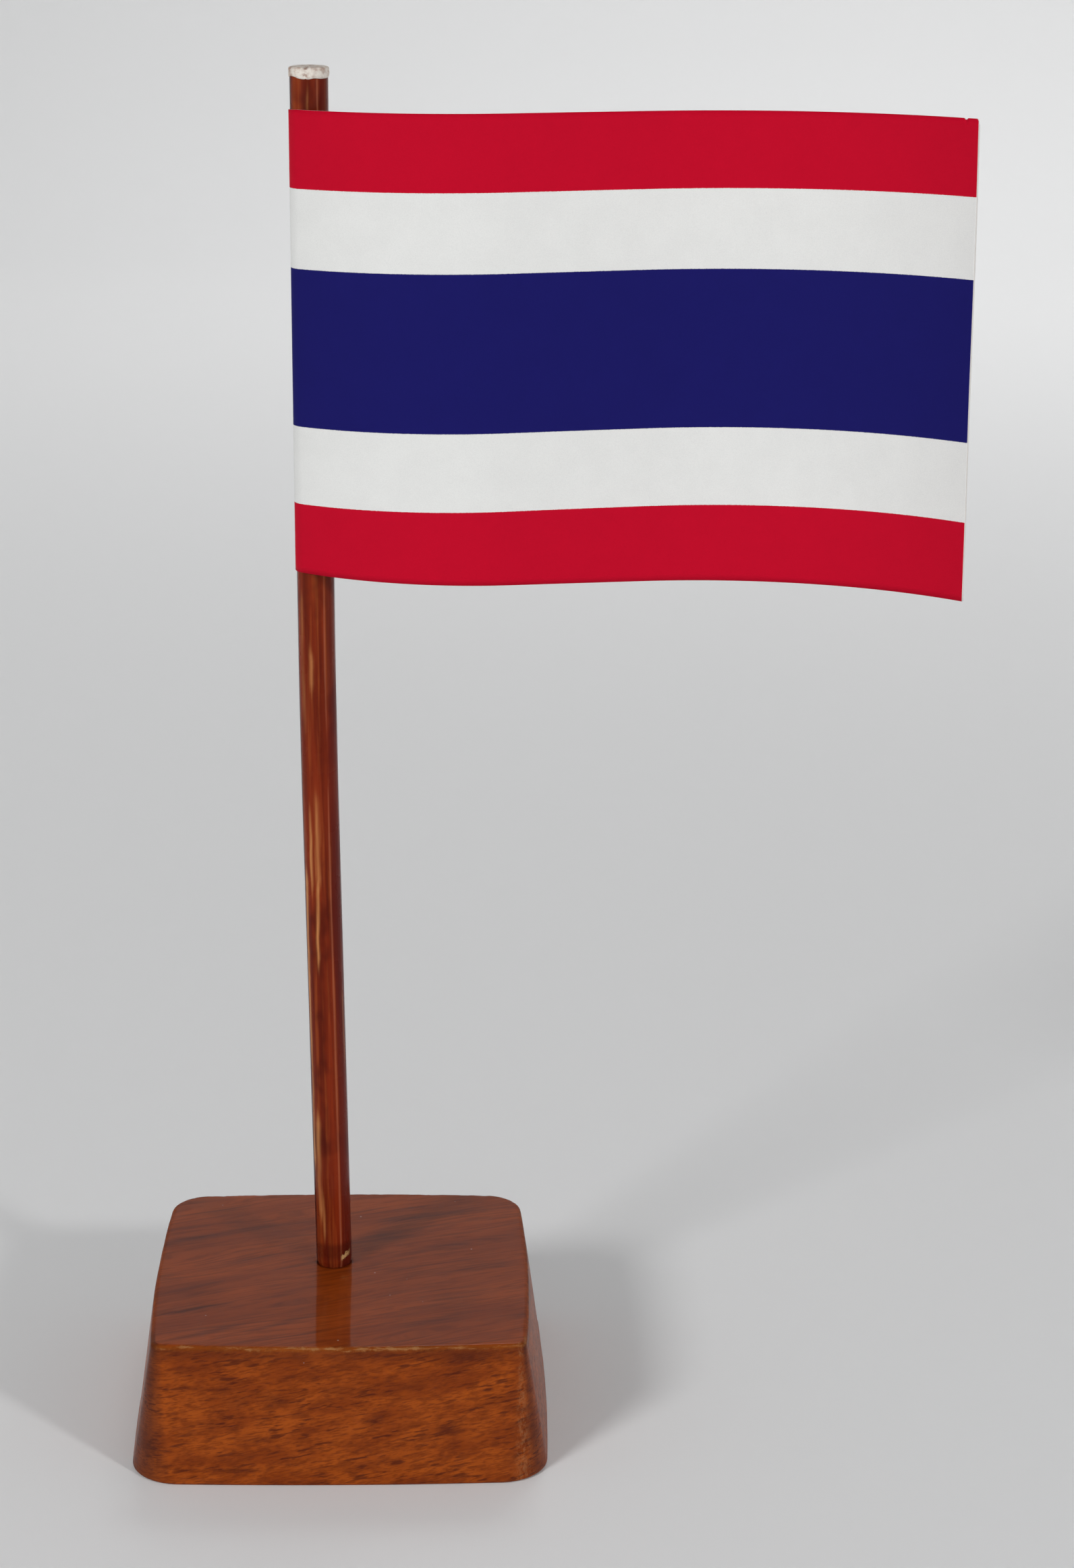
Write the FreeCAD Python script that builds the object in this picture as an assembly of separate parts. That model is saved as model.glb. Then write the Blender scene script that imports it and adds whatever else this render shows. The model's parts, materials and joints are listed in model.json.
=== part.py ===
import FreeCAD
import Part
import math
import os

# Desk flag stand. Millimetres. X runs along the flag, Y runs to the back,
# Z is up, and the origin is the centre of the block's underside.

# base block: a tapered square block with slightly bulging sides
BASE_FOOT_HALF = 30.0     # half-width at the underside, at the middle of a side
BASE_TOP_HALF = 27.2      # half-width at the top, at the middle of a side
BASE_HEIGHT = 20.0
BASE_FOOT_CROWN = 0.8     # how far a side bulges past its corners, underside
BASE_TOP_CROWN = 1.0      # the same at the top
BASE_FOOT_BACK = 8.0      # radius of the two upright corners at the back, underside
BASE_TOP_BACK = 5.5       # the same at the top
BASE_FOOT_FRONT = 7.0     # radius of the two upright corners in front, underside
BASE_TOP_FRONT = 1.6      # the same at the top
BASE_EDGE_EASE = 0.5      # radius that eases the edges round top and underside

# pole: a turned stick with a slight bow and a thinner peg at its foot
POLE_D = 5.2
POLE_X = -1.4             # where the pole's axis passes through the block's top
POLE_Y = 2.0
LOWER_LEAN = 1.17         # degrees from upright, towards -X, below the bow
UPPER_LEAN = 0.29         # degrees from upright above the bow
BOW_START = 92.0          # height at which the bow begins
BOW_RISE = 29.0           # length of the bowed stretch
POLE_TOP = 193.2          # height of the pole's upper end
PEG_D = 4.8
PEG_LENGTH = 14.0         # how deep the peg sits in the block
PEG_BEVEL = 0.6           # bevel on the lower end of the peg
SHOULDER_RISE = 1.2       # height of the cone between the peg and the pole
POLE_END_BEVEL = 0.25     # bevel on the pole's upper end
SOCKET_CLEARANCE = 0.05   # radial, between the peg and its socket
DRILL_POINT_RISE = 1.3    # cone left by the drill below the peg
DRILL_OVERRUN = 2.0       # how far the cutter reaches above the block

# white seal over the pole's upper end
SEAL_OVERHANG = 0.12      # how far it stands out round the pole
SEAL_SKIRT = 0.85         # how far it reaches down the pole
SEAL_CAP = 0.6            # thickness above the pole's end
SEAL_ROUND = 0.35

# flag: one sheet folded round the pole, its two leaves glued together
SHEET_T = 0.14
LOOP_CLEARANCE = 0.06     # radial, between the pole and the sheet round it
GLUE_T = 0.06
FLAG_FOOT = 124.9         # height of the lower corner at the pole
FLAG_HEIGHT = 63.3        # height of the flag at the pole
FLAG_RISE = 0.89          # degrees by which the flag's upper edge climbs
FLAG_FOOT_RISE = 0.29     # climb of the lower edge from the pole to its end
FLAG_FOOT_SAG = 0.25      # how far that edge hangs below its own chord
FLY_SKEW = 0.39           # degrees by which the free end leans more than the pole
LEAVE_ANGLE = -35.0       # degrees, heading of the front leaf off the pole
FIRST_RADIUS = 39.3       # the front leaf's waves, one tangent arc each
FIRST_TURN = 43.1
SECOND_RADIUS = 1100.0
SECOND_TURN = -1.0
THIRD_RADIUS = 52.2
THIRD_TURN = -50.0
RETURN_RADIUS = 12.0      # swing of the back leaf from the pole to the front leaf
GLUE_INSET = 0.6          # the glue stops short of the sheet's edges
FLAG_SPARE = 10.0         # the uncut sheet's extra height, above and below
TRIM_BLOCK = 60.0         # side of the block that cuts the free end

POLE_R = POLE_D / 2
PEG_R = PEG_D / 2
UP = FreeCAD.Vector(0, 0, 1)


def vec(x, y, z=0.0):
    return FreeCAD.Vector(x, y, z)


def polar(centre, radius, degrees):
    a = math.radians(degrees)
    return centre + vec(radius * math.cos(a), radius * math.sin(a))


def arc(centre, radius, first, last):
    return Part.Arc(
        polar(centre, radius, first),
        polar(centre, radius, (first + last) / 2),
        polar(centre, radius, last),
    ).toShape()


# the pole's centre line -------------------------------------------------

def leaning(degrees):
    """The upward direction of a line that leans towards -X."""
    a = math.radians(degrees)
    return vec(-math.sin(a), 0, math.cos(a))


def bow_radius():
    return BOW_RISE / math.radians(LOWER_LEAN - UPPER_LEAN)


FOOT = vec(POLE_X, POLE_Y, BASE_HEIGHT)
LOW = leaning(LOWER_LEAN)
HIGH = leaning(UPPER_LEAN)
BOW_LOW = FOOT + LOW * ((BOW_START - BASE_HEIGHT) / LOW.z)
BOW_CENTRE = BOW_LOW + vec(LOW.z, 0, -LOW.x) * bow_radius()
BOW_HIGH = BOW_CENTRE - vec(HIGH.z, 0, -HIGH.x) * bow_radius()
TOP = BOW_HIGH + HIGH * ((POLE_TOP - BOW_HIGH.z) / HIGH.z)


# base block -------------------------------------------------------------

def round_corner(half, big, radius):
    """How far out a corner's centre lies, and the angle at which a side ends there."""
    b = 2 * (big - half)
    c = (big - half) ** 2 - (big - radius) ** 2
    out = (-b + math.sqrt(b * b - 8 * c)) / 4
    return out, math.degrees(math.atan2(out, out - half + big))


def bulging_square(half, crown, back, front, z):
    """A square with bulging sides, its corners rounded by one radius behind and one in front."""
    big = (half * half + crown * crown) / (2 * crown)
    radii = [back, back, front, front]
    edges = []
    for quarter, radius in enumerate(radii):
        out, last = round_corner(half, big, radius)
        first = -round_corner(half, big, radii[quarter - 1])[1]
        side = arc(vec(half - big, 0, z), big, first, last)
        bend = arc(vec(out, out, z), radius, last, 90 - last)
        for edge in (side, bend):
            edge.rotate(vec(0, 0), UP, 90 * quarter)
            edges.append(edge)
    return Part.Wire(edges)


def socket():
    r = PEG_R + SOCKET_CLEARANCE
    bore = Part.makeCylinder(r, PEG_LENGTH + DRILL_OVERRUN, FOOT - LOW * PEG_LENGTH, LOW)
    point = Part.makeCone(0, r, DRILL_POINT_RISE,
                          FOOT - LOW * (PEG_LENGTH + DRILL_POINT_RISE), LOW)
    return bore.fuse(point)


def base_block():
    under = bulging_square(BASE_FOOT_HALF, BASE_FOOT_CROWN,
                           BASE_FOOT_BACK, BASE_FOOT_FRONT, 0)
    over = bulging_square(BASE_TOP_HALF, BASE_TOP_CROWN,
                          BASE_TOP_BACK, BASE_TOP_FRONT, BASE_HEIGHT)
    block = Part.makeLoft([under, over], True, True)
    rims = [e for e in block.Edges if e.BoundBox.ZLength < 1e-3]
    block = block.makeFillet(BASE_EDGE_EASE, rims)
    return block.cut(socket())


# pole -------------------------------------------------------------------

def peg():
    low = FOOT - LOW * PEG_LENGTH
    bevel = Part.makeCone(PEG_R - PEG_BEVEL, PEG_R, PEG_BEVEL, low, LOW)
    straight = Part.makeCylinder(PEG_R, PEG_LENGTH - PEG_BEVEL,
                                 low + LOW * PEG_BEVEL, LOW)
    shoulder = Part.makeCone(PEG_R, POLE_R, SHOULDER_RISE, FOOT, LOW)
    return bevel.fuse(straight).fuse(shoulder)


def bowed_stretch():
    disc = Part.Face(Part.Wire(Part.makeCircle(POLE_R, BOW_LOW, LOW)))
    return disc.revolve(BOW_CENTRE, vec(0, 1, 0), LOWER_LEAN - UPPER_LEAN)


def pole():
    start = FOOT + LOW * SHOULDER_RISE
    lower = Part.makeCylinder(POLE_R, (BOW_LOW - start).Length, start, LOW)
    length = (TOP - BOW_HIGH).Length - POLE_END_BEVEL
    upper = Part.makeCylinder(POLE_R, length, BOW_HIGH, HIGH)
    bevel = Part.makeCone(POLE_R, POLE_R - POLE_END_BEVEL, POLE_END_BEVEL,
                          BOW_HIGH + HIGH * length, HIGH)
    return peg().multiFuse([lower, bowed_stretch(), upper, bevel])


def pole_end_seal():
    r = POLE_R + SEAL_OVERHANG
    high = SEAL_SKIRT + SEAL_CAP
    low = TOP - HIGH * SEAL_SKIRT
    cap = Part.makeCylinder(r, high, low, HIGH)
    rim = [e for e in cap.Edges if (e.CenterOfMass - low).dot(HIGH) > high - 0.01
           and len(e.Vertexes) == 1]
    cap = cap.makeFillet(SEAL_ROUND, rim)
    return cap.cut(pole())


# flag -------------------------------------------------------------------

def chain(point, heading, bends):
    """Tangent arcs in plan: centre, radius, first and last angle of each."""
    arcs = []
    for radius, turn in bends:
        side = 90 if turn > 0 else -90
        centre = polar(point, radius, heading + side)
        first = heading - side
        last = first + turn
        arcs.append((centre, radius, first, last))
        point = polar(centre, radius, last)
        heading += turn
    return arcs


def beside(arcs, gap):
    """The same arcs, moved sideways to the left of the way they run."""
    moved = []
    for centre, radius, first, last in arcs:
        moved.append((centre, radius - gap if last > first else radius + gap, first, last))
    return moved


def ribbon(arcs, thickness):
    """A closed wire: the arcs with half the thickness on either side."""
    left, right = beside(arcs, thickness / 2), beside(arcs, -thickness / 2)
    edges = [arc(*a) for a in left] + [arc(*a) for a in right]
    for k in (0, -1):
        i = 2 if k == 0 else 3
        edges.append(Part.makeLine(polar(*left[k][:2], left[k][i]),
                                   polar(*right[k][:2], right[k][i])))
    return Part.Wire(Part.__sortEdges__(edges))


LOOP_R = POLE_R + LOOP_CLEARANCE + SHEET_T / 2
LEAF_STEP = SHEET_T + GLUE_T


def front_leaf():
    start = polar(vec(0, 0), LOOP_R, LEAVE_ANGLE - 90)
    return chain(start, LEAVE_ANGLE, [(FIRST_RADIUS, FIRST_TURN),
                                      (SECOND_RADIUS, SECOND_TURN),
                                      (THIRD_RADIUS, THIRD_TURN)])


def leaves_meet():
    """Centre of the back leaf's swing, and the angles at which it starts and ends."""
    big = front_leaf()[0][0]
    inner = FIRST_RADIUS - LEAF_STEP
    d = big.Length
    a, b = LOOP_R + RETURN_RADIUS, inner - RETURN_RADIUS
    off = math.degrees(math.acos((d * d + a * a - b * b) / (2 * d * a)))
    start = LEAVE_ANGLE + 90 - off
    centre = polar(vec(0, 0), a, start)
    way = centre - big
    return centre, start, math.degrees(math.atan2(way.y, way.x))


def back_leaf_run():
    """The back leaf where it lies against the front leaf."""
    arcs = beside(front_leaf(), LEAF_STEP)
    centre, radius, first, last = arcs[0]
    return [(centre, radius, leaves_meet()[2], last)] + arcs[1:]


def back_leaf():
    centre, start, end = leaves_meet()
    loop = (vec(0, 0), LOOP_R, LEAVE_ANGLE - 90 + 360, start)
    swing = (centre, RETURN_RADIUS, start - 180, end)
    return [loop, swing] + back_leaf_run()


def flag_window(inset):
    """The flag's upper and lower edges seen from the front, as a solid to keep."""
    near, far, front, back = -10.0, 90.0, -40.0, 40.0
    low, high = FLAG_FOOT + inset, FLAG_FOOT + FLAG_HEIGHT - inset
    climb = math.tan(math.radians(FLAG_RISE)) * (far - near)
    a = vec(near, front, low)
    m = vec((near + far) / 2, front, low + FLAG_FOOT_RISE / 2 - FLAG_FOOT_SAG)
    b = vec(far, front, low + FLAG_FOOT_RISE)
    c = vec(far, front, high + climb)
    d = vec(near, front, high)
    edges = [Part.Arc(a, m, b).toShape(), Part.makeLine(b, c),
             Part.makeLine(c, d), Part.makeLine(d, a)]
    return Part.Face(Part.Wire(edges)).extrude(vec(0, back - front, 0))


def fly_trim(inset):
    """A block past the free end, whose near face is the slanting cut there."""
    centre, radius, first, last = front_leaf()[-1]
    block = Part.makeBox(TRIM_BLOCK, TRIM_BLOCK, 3 * TRIM_BLOCK,
                         vec(-inset, -TRIM_BLOCK / 2, -FLAG_SPARE))
    block.rotate(vec(0, 0), vec(0, 1, 0), -FLY_SKEW)
    block.rotate(vec(0, 0), UP, last - 90)
    block.translate(polar(centre, radius, last))
    return block


def on_the_pole(profile, inset):
    """A plan profile raised along the upper pole's axis and cut to the flag."""
    solid = Part.Face(profile).extrude(vec(0, 0, FLAG_HEIGHT + 2 * FLAG_SPARE))
    solid = solid.cut(fly_trim(inset))
    solid.rotate(vec(0, 0), vec(0, 1, 0), -UPPER_LEAN)
    solid.translate(BOW_HIGH + HIGH * ((FLAG_FOOT - FLAG_SPARE - BOW_HIGH.z) / HIGH.z))
    return solid.common(flag_window(inset))


def flag_sheet():
    front = on_the_pole(ribbon(front_leaf(), SHEET_T), 0)
    back = on_the_pole(ribbon(back_leaf(), SHEET_T), 0)
    return front.fuse(back).removeSplitter()


def flag_glue():
    arcs = beside(back_leaf_run(), -LEAF_STEP / 2)
    trim = math.degrees(GLUE_INSET / FIRST_RADIUS)
    arcs[0] = arcs[0][:2] + (arcs[0][2] + trim, arcs[0][3])
    return on_the_pole(ribbon(arcs, GLUE_T), GLUE_INSET)


NODES = {
    "base_block": base_block,
    "pole": pole,
    "pole_end_seal": pole_end_seal,
    "flag_sheet": flag_sheet,
    "flag_glue": flag_glue,
}

os.makedirs("parts", exist_ok=True)
for name, build in NODES.items():
    shape = build()
    print(name, shape.ShapeType, len(shape.Solids), "valid", shape.isValid(),
          round(shape.Volume, 2))
    shape.exportStep("parts/" + name + ".step")
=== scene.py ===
import json
import math

import bpy
import numpy as np
from mathutils import Matrix, Vector, noise


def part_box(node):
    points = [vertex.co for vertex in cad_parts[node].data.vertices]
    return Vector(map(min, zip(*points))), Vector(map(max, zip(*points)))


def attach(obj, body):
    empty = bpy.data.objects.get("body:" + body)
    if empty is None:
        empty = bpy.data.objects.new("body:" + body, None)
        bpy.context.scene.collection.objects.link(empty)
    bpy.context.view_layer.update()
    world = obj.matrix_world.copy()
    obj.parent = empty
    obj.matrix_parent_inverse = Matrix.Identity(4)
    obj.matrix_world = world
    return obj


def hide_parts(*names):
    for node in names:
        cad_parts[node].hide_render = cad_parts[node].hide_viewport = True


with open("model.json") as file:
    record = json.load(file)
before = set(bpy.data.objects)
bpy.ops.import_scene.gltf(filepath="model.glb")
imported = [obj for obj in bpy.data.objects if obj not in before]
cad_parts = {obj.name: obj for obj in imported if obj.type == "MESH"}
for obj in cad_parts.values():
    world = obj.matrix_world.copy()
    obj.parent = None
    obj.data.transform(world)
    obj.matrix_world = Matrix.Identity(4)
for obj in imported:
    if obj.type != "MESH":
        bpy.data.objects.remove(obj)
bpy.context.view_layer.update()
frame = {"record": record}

MM = 0.001

# The frame's own places: the block, the top of the filler, and the two joints' axes.
record = frame["record"]
joints = {j["name"]: j for j in record["behaviour"]["joints"]}
BLOCK_LOW, BLOCK_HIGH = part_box("base_block")
SEAL_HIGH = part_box("pole_end_seal")[1]
FLAG_LOW, FLAG_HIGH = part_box("flag_sheet")
SOCKET_AXIS = Vector(joints["pole_lift"]["axis"]).normalized()
FLAG_AXIS = Vector(joints["flag_turn"]["axis"]).normalized()
FLAG_AT = Vector(joints["flag_turn"]["pos_m"])


# mesh making ------------------------------------------------------------

def make_object(name, points, faces, values=None, face_values=None):
    """A mesh object with named numbers stored on its points and faces."""
    mesh = bpy.data.meshes.new(name)
    mesh.from_pydata([tuple(p) for p in points], [], faces)
    for label, numbers in (values or {}).items():
        numbers = np.asarray(numbers, dtype=np.float32)
        kind = "FLOAT" if numbers.ndim == 1 else "FLOAT_VECTOR"
        field = mesh.attributes.new(label, kind, "POINT")
        field.data.foreach_set("value" if kind == "FLOAT" else "vector", numbers.ravel())
    for label, numbers in (face_values or {}).items():
        field = mesh.attributes.new(label, "FLOAT", "FACE")
        field.data.foreach_set("value", np.asarray(numbers, dtype=np.float32))
    mesh.polygons.foreach_set("use_smooth", [True] * len(faces))
    mesh.validate()
    mesh.update()
    piece = bpy.data.objects.new(name, mesh)
    bpy.context.scene.collection.objects.link(piece)
    return piece


def ring_faces(rings, around):
    """Quads between each ring of points and the next."""
    faces = []
    for r in range(rings - 1):
        for k in range(around):
            a, b = r * around + k, r * around + (k + 1) % around
            faces.append((a, b, b + around, a + around))
    return faces


def fan(ring_start, around, centre, flip=False):
    """Triangles from a ring of points to one point."""
    faces = []
    for k in range(around):
        a, b = ring_start + k, ring_start + (k + 1) % around
        faces.append((b, a, centre) if flip else (a, b, centre))
    return faces


def slab_faces(columns, high, flip=False):
    """Faces round a thin slab: a grid of points, then the same grid on its other side.

    With each face comes what it is: 0 the first side, 0.5 the second, 1 a cut edge.
    """
    other = columns * high
    last = other - high
    faces, kinds = [], []
    for i in range(columns - 1):
        for j in range(high - 1):
            a, b = i * high + j, (i + 1) * high + j
            faces += [(a, b, b + 1, a + 1), (other + a + 1, other + b + 1, other + b, other + a)]
            kinds += [0.0, 0.5]
        a, b = i * high, (i + 1) * high
        up_a, up_b = a + high - 1, b + high - 1
        faces += [(a, other + a, other + b, b), (up_a, up_b, other + up_b, other + up_a)]
        kinds += [1.0, 1.0]
    for j in range(high - 1):
        a, b = j, last + j
        faces += [(a + 1, other + a + 1, other + a, a), (b, other + b, other + b + 1, b + 1)]
        kinds += [1.0, 1.0]
    return [face[::-1] for face in faces] if flip else faces, kinds


def wander(points, scale, seed):
    """Smooth noise from -1 to 1 at each point; scale is the wave's size in metres."""
    shift = Vector((seed * 7.13, seed * 3.71, seed * 5.29))
    return np.array([noise.noise(Vector(p) / scale + shift) for p in points])


def spaced(low, high, step):
    """Even numbers from low to high, about a step apart."""
    return np.linspace(low, high, max(2, int(round(abs(high - low) / step)) + 1))


# node making ------------------------------------------------------------

class Finish:
    """One material, with short calls for its nodes."""

    def __init__(self, name):
        self.material = bpy.data.materials.new(name)
        self.material.use_nodes = True
        self.tree = self.material.node_tree
        self.tree.nodes.clear()
        self.shader = self.add("ShaderNodeBsdfPrincipled")
        out = self.add("ShaderNodeOutputMaterial")
        self.tree.links.new(self.shader.outputs[0], out.inputs[0])

    def add(self, kind, **settings):
        """A new node."""
        made = self.tree.nodes.new(kind)
        for key, value in settings.items():
            setattr(made, key, value)
        return made

    def feed(self, socket, value):
        """Links a socket to another node's output, or sets its value."""
        if isinstance(value, bpy.types.NodeSocket):
            self.tree.links.new(value, socket)
        elif value is not None:
            if socket.type == "RGBA" and len(value) == 3:
                value = (*value, 1)
            socket.default_value = value

    def set(self, **values):
        """Feeds the shader's own sockets, by name."""
        for key, value in values.items():
            self.feed(self.shader.inputs[key.replace("_", " ")], value)

    def object_place(self):
        return self.add("ShaderNodeTexCoord").outputs["Object"]

    def in_mm(self):
        """The object's own coordinates in millimetres."""
        return self.place(self.object_place(), (1 / MM, 1 / MM, 1 / MM))

    def stored(self, label, output="Fac"):
        """A value that make_object stored on the mesh."""
        return self.add("ShaderNodeAttribute", attribute_name=label).outputs[output]

    def place(self, vector, scale=(1, 1, 1), turn=(0, 0, 0), shift=(0, 0, 0)):
        """Moves, turns (degrees) and then scales a place."""
        turned = self.add("ShaderNodeMapping")
        self.feed(turned.inputs["Vector"], vector)
        self.feed(turned.inputs["Location"], shift)
        self.feed(turned.inputs["Rotation"], [math.radians(t) for t in turn])
        scaled = self.add("ShaderNodeVectorMath", operation="MULTIPLY")
        self.feed(scaled.inputs[0], turned.outputs[0])
        self.feed(scaled.inputs[1], scale)
        return scaled.outputs[0]

    def noise(self, vector, scale=1.0, detail=2.0, rough=0.5, twist=0.0):
        made = self.add("ShaderNodeTexNoise")
        self.feed(made.inputs["Vector"], vector)
        for key, value in (("Scale", scale), ("Detail", detail),
                           ("Roughness", rough), ("Distortion", twist)):
            self.feed(made.inputs[key], value)
        return made.outputs["Fac"]

    def cells(self, vector, output="Distance"):
        made = self.add("ShaderNodeTexVoronoi")
        self.feed(made.inputs["Vector"], vector)
        self.feed(made.inputs["Scale"], 1.0)
        return made.outputs[output]

    def span(self, value, low, high, to_low=0.0, to_high=1.0):
        """Maps low..high to to_low..to_high with soft ends."""
        made = self.add("ShaderNodeMapRange", interpolation_type="SMOOTHSTEP")
        for slot, number in enumerate((value, low, high, to_low, to_high)):
            self.feed(made.inputs[slot], number)
        return made.outputs[0]

    def math(self, operation, a, b=None, clamp=False):
        made = self.add("ShaderNodeMath", operation=operation, use_clamp=clamp)
        self.feed(made.inputs[0], a)
        self.feed(made.inputs[1], b)
        return made.outputs[0]

    def times(self, *values):
        product = values[0]
        for value in values[1:]:
            product = self.math("MULTIPLY", product, value)
        return product

    def less(self, a, b):
        return self.math("SUBTRACT", a, b)

    def mix(self, amount, a, b, blend="MIX"):
        made = self.add("ShaderNodeMix", data_type="RGBA", blend_type=blend)
        self.feed(made.inputs["Factor"], amount)
        self.feed(made.inputs[6], a)
        self.feed(made.inputs[7], b)
        return made.outputs[2]

    def part_of(self, vector, axis):
        """One axis of a vector: 0 is x, 1 is y, 2 is z."""
        made = self.add("ShaderNodeSeparateXYZ")
        self.feed(made.inputs[0], vector)
        return made.outputs[axis]

    def bump(self, height, depth, normal=None):
        """Relief whose height of 1 stands depth metres proud."""
        made = self.add("ShaderNodeBump")
        self.feed(made.inputs["Strength"], 1.0)
        self.feed(made.inputs["Distance"], depth)
        self.feed(made.inputs["Height"], height)
        self.feed(made.inputs["Normal"], normal)
        return made.outputs[0]


def dress(piece, finish):
    piece.data.materials.clear()
    piece.data.materials.append(finish.material)


# base block -------------------------------------------------------------

BLOCK_HEIGHT = BLOCK_HIGH.z - BLOCK_LOW.z
FOOT_HALF, TOP_HALF = 30.0 * MM, 27.2 * MM
FOOT_CROWN, TOP_CROWN = 0.8 * MM, 1.0 * MM
FOOT_BACK, TOP_BACK = 8.0 * MM, 5.5 * MM        # radius of the upright corners behind
FOOT_FRONT, TOP_FRONT = 7.0 * MM, 1.6 * MM      # the same in front
FOOT_EASE, TOP_EASE = 0.5 * MM, 0.75 * MM       # radius of the level edges
SOCKET_AT = Vector((-1.4 * MM, 2.0 * MM, BLOCK_HEIGHT))
SOCKET_RADIUS = 2.42 * MM
SOCKET_DEPTH = 14.0 * MM
DRILL_POINT = 1.2 * MM
SIDE_POINTS, CORNER_POINTS = 92, 26
SIDE_STEP, TOP_STEP, SOCKET_STEP = 0.45 * MM, 0.5 * MM, 1.0 * MM
GRAIN_TURN = -20.0    # degrees, the grain's heading on the top face
GRAIN_CLIMB = 10.0    # degrees, the grain's climb on the front face

# Dark marks in the wood, in millimetres: where, how long and wide, which way, how dark.
# On the top a place is x and y; on the front it is x and z.
TOP_MARKS = (
    (-22, 10.5, 15, 1.5, 23, 1.0), (-12, 14.5, 19, 1.2, 17, 0.8), (13, 18.5, 19, 1.7, 15, 1.0),
    (7, 10.5, 9, 3.5, 26, 0.6), (17, 8, 12, 1.6, 20, 0.7), (-21, -14.5, 12, 1.3, 19, 1.0),
    (-18, -21.5, 11, 1.4, 28, 0.9), (-8, -19, 11, 1.2, 29, 0.8), (12, -19, 12, 1.6, 18, 0.6),
    (-21, -9, 8, 2.0, 22, 0.5), (11, -2.5, 8, 1.2, 26, 0.6), (21, 0.5, 11, 2.0, 14, 0.5),
    (16, -11, 13, 1.4, 14, 0.5), (-9, -10, 9, 1.0, 22, 0.4), (-15, 2, 10, 1.6, 22, 0.35),
)
FRONT_MARKS = (
    (18.5, 18.4, 7, 1.7, 1, 0.9), (4.8, 9.4, 3.2, 1.0, 12, 1.0), (-14, 2.2, 6.5, 0.6, 1, 1.0),
    (-9, 12.6, 5, 1.3, -14, 0.8), (-11, 6.8, 3.6, 0.6, 6, 0.8), (15.3, 8.2, 4, 1.5, 14, 0.9),
    (-4.4, 17.6, 4, 1.0, -28, 0.8), (0, 14, 4.5, 1.0, 12, 0.5), (12.5, 7, 4, 1.0, 10, 0.6),
    (10, 14.5, 5, 1.0, 14, 0.5), (-14, 12.2, 5, 1.2, 16, 0.5), (-18, 8.5, 5, 1.3, 14, 0.5),
    (22, 12, 5, 1.2, 14, 0.5), (5, 3.5, 6, 0.8, 10, 0.4), (-22, 16.5, 5, 1.2, 20, 0.5),
    (-25, 19, 5, 2.0, 0, 0.35), (19, 18.4, 9, 1.8, -4, 0.55),
)


def round_corner(half, big, radius):
    """How far out a corner's centre lies, and the angle at which a side ends there."""
    b = 2 * (big - half)
    c = (big - half) ** 2 - (big - radius) ** 2
    out = (-b + math.sqrt(b * b - 8 * c)) / 4
    return out, math.atan2(out, out - half + big)


def bulging_square(half, crown, back, front):
    """Points round a square with bulging sides and round corners."""
    big = (half * half + crown * crown) / (2 * crown)
    radii = [back, back, front, front]
    turns = []
    for q, radius in enumerate(radii):
        out, last = round_corner(half, big, radius)
        first = -round_corner(half, big, radii[q - 1])[1]
        side = np.linspace(first, last, SIDE_POINTS, endpoint=False)
        bend = np.linspace(last, math.pi / 2 - last, CORNER_POINTS, endpoint=False)
        quarter = np.vstack([
            np.column_stack([half - big + big * np.cos(side), big * np.sin(side)]),
            np.column_stack([out + radius * np.cos(bend), out + radius * np.sin(bend)]),
        ])
        co, si = round(math.cos(q * math.pi / 2)), round(math.sin(q * math.pi / 2))
        turns.append(quarter @ np.array([[co, si], [-si, co]]))
    return np.vstack(turns)


def block_outline(z, inset):
    """The block's outline at a height, drawn in by inset."""
    def between(foot, top):
        return foot + (top - foot) * z / BLOCK_HEIGHT

    return bulging_square(between(FOOT_HALF, TOP_HALF) - inset, between(FOOT_CROWN, TOP_CROWN),
                          between(FOOT_BACK, TOP_BACK) - inset,
                          between(FOOT_FRONT, TOP_FRONT) - inset)


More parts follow.
